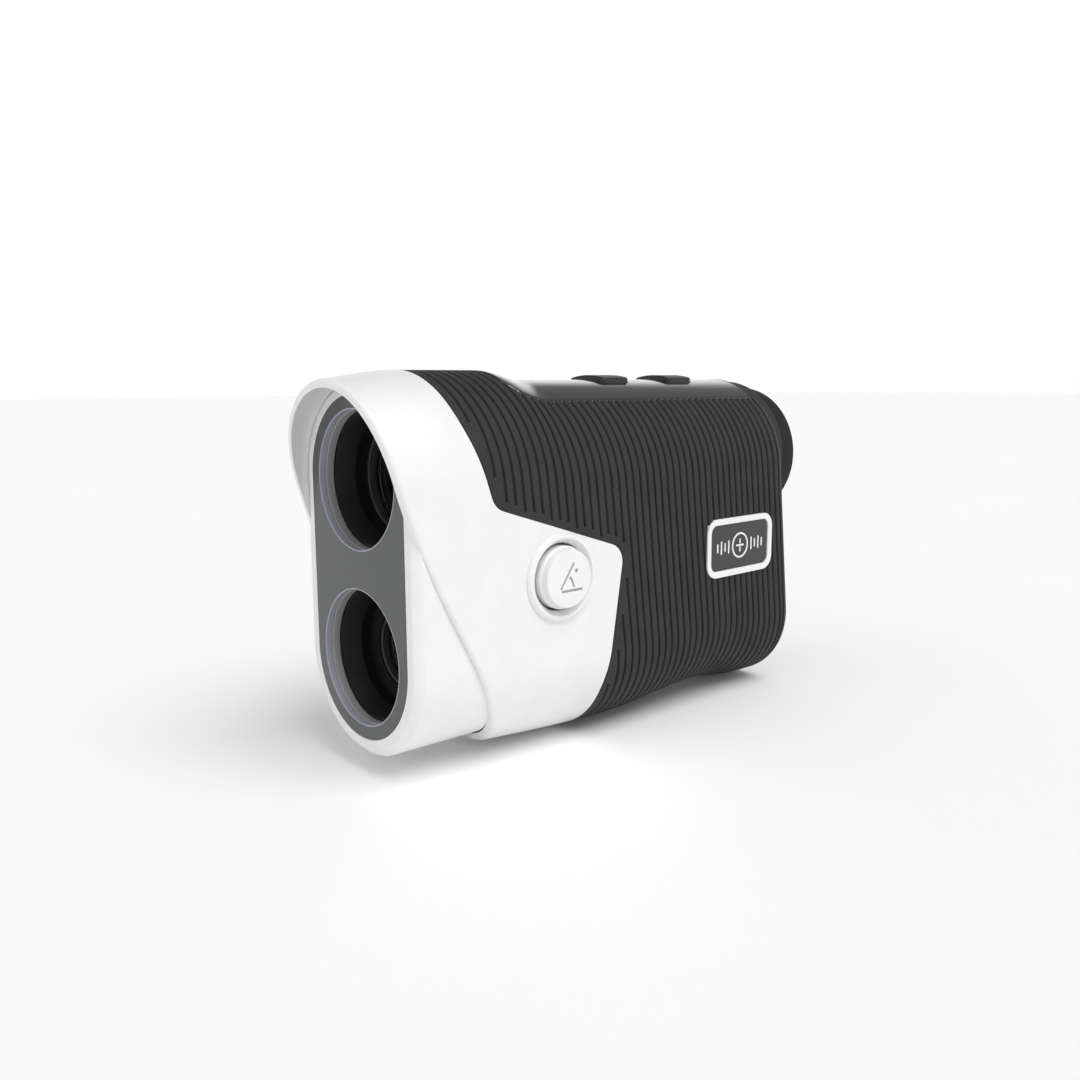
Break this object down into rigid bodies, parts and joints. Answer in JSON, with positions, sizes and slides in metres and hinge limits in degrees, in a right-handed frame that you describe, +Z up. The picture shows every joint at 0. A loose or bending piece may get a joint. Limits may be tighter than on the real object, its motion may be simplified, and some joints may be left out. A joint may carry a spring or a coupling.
{
  "type": "laser rangefinder",
  "caption": "Hand-held laser rangefinder: a two-lens front under a hood, ribbed rubber grip, top buttons, round slope button on the side and a rear eyepiece.",
  "frame": {"origin": "on the viewing axis, at the front face of the lens plate and the mouth of the upper lens recess", "axes": "-Y is the way the lenses look, +Y runs back along the viewing axis to the eyepiece, +Z is up, +X is the user's left, the side with the slope button"},
  "size_m": [0.0422, 0.1187, 0.0756],
  "materials": {
    "white_plastic": "smooth satin white moulding",
    "plate_gloss": "dark grey, fine horizontal brushing, glossy",
    "trim_aluminium": "satin anodised",
    "lock_ring_dark": "dark anodised, satin",
    "barrel_black": "matt black",
    "lens_glass": "coated optical glass",
    "prism_glass": "polished optical glass",
    "grip_rubber": "matt ribbed rubber",
    "eyecup_rubber": "matt rubber",
    "gloss_black": "piano black",
    "button_black": "satin black",
    "housing_black": "fine spark-eroded black",
    "badge_black": "satin black",
    "seal_rubber": "smooth rubber",
    "silicone": "translucent silicone",
    "switch_metal": "stamped steel",
    "circuit_board": "solder mask",
    "screw_steel": "black oxide",
    "battery_foil": "shrink wrap",
    "display_glass": "liquid crystal panel"
  },
  "bodies": {
    "housing": {"front_shell": "white_plastic", "front_housing": "white_plastic", "slope_bezel": "white_plastic", "badge_frame": "white_plastic", "front_plate": "plate_gloss", "objective_trim_ring": "trim_aluminium", "receiver_trim_ring": "trim_aluminium", "objective_lock_ring": "lock_ring_dark", "receiver_lock_ring": "lock_ring_dark", "objective_barrel": "barrel_black", "receiver_barrel": "barrel_black", "eyepiece_tube": "barrel_black", "objective_lens": "lens_glass", "receiver_lens": "lens_glass", "front_prism": "prism_glass", "roof_prism": "prism_glass", "grip_sleeve": "grip_rubber", "top_cover": "gloss_black", "body_housing": "housing_black", "rear_cover": "housing_black", "optical_frame": "housing_black", "prism_cage": "housing_black", "badge_plate": "badge_black", "objective_seal": "seal_rubber", "receiver_seal": "seal_rubber", "power_dome": "silicone", "mode_dome": "silicone", "slope_dome": "silicone", "power_switch": "switch_metal", "mode_switch": "switch_metal", "slope_switch": "switch_metal", "usb_port": "switch_metal", "main_board": "circuit_board", "button_board": "circuit_board", "slope_board": "circuit_board", "laser_module": "circuit_board", "detector_module": "circuit_board", "rear_cover_screws": "screw_steel", "battery": "battery_foil", "display_panel": "display_glass"},
    "power": {"power_button": "button_black"},
    "mode": {"mode_button": "button_black"},
    "slope": {"slope_button": "white_plastic"},
    "diopter": {"diopter_ring": "lock_ring_dark", "eyecup": "eyecup_rubber"},
    "eyepiece": {"eyepiece_cell": "barrel_black", "eye_lens": "lens_glass", "field_lens": "lens_glass"},
    "flap": {"usb_flap": "eyecup_rubber"}
  },
  "joints": [
    {"name": "power_press", "type": "slide", "parent": "housing", "child": "power", "axis": [0, 0, -1], "range_m": [0, 0.0005], "stiffness_N_per_m": 600, "springref_m": -0.0005, "deforming": ["power_dome"]},
    {"name": "mode_press", "type": "slide", "parent": "housing", "child": "mode", "axis": [0, 0, -1], "range_m": [0, 0.0005], "stiffness_N_per_m": 600, "springref_m": -0.0005, "deforming": ["mode_dome"]},
    {"name": "slope_press", "type": "slide", "parent": "housing", "child": "slope", "axis": [-1, 0, 0], "range_m": [0, 0.0008], "stiffness_N_per_m": 600, "springref_m": -0.0005, "deforming": ["slope_dome"]},
    {"name": "diopter_turn", "type": "hinge", "parent": "housing", "child": "diopter", "pos_m": [0, 0.105, 0], "axis": [0, 1, 0], "range_deg": [-150, 150]},
    {"name": "eyepiece_focus", "type": "slide", "parent": "housing", "child": "eyepiece", "axis": [0, 1, 0], "range_m": [-0.00125, 0.00125]},
    {"name": "usb_flap_hinge", "type": "hinge", "parent": "housing", "child": "flap", "pos_m": [-0.0068, 0.10792, -0.03846], "axis": [-1, 0, 0], "range_deg": [0, 100]}
  ],
  "couplings": [
    {"joint": "eyepiece_focus", "follows": "diopter_turn", "m_per_rad": 0.00045837}
  ]
}
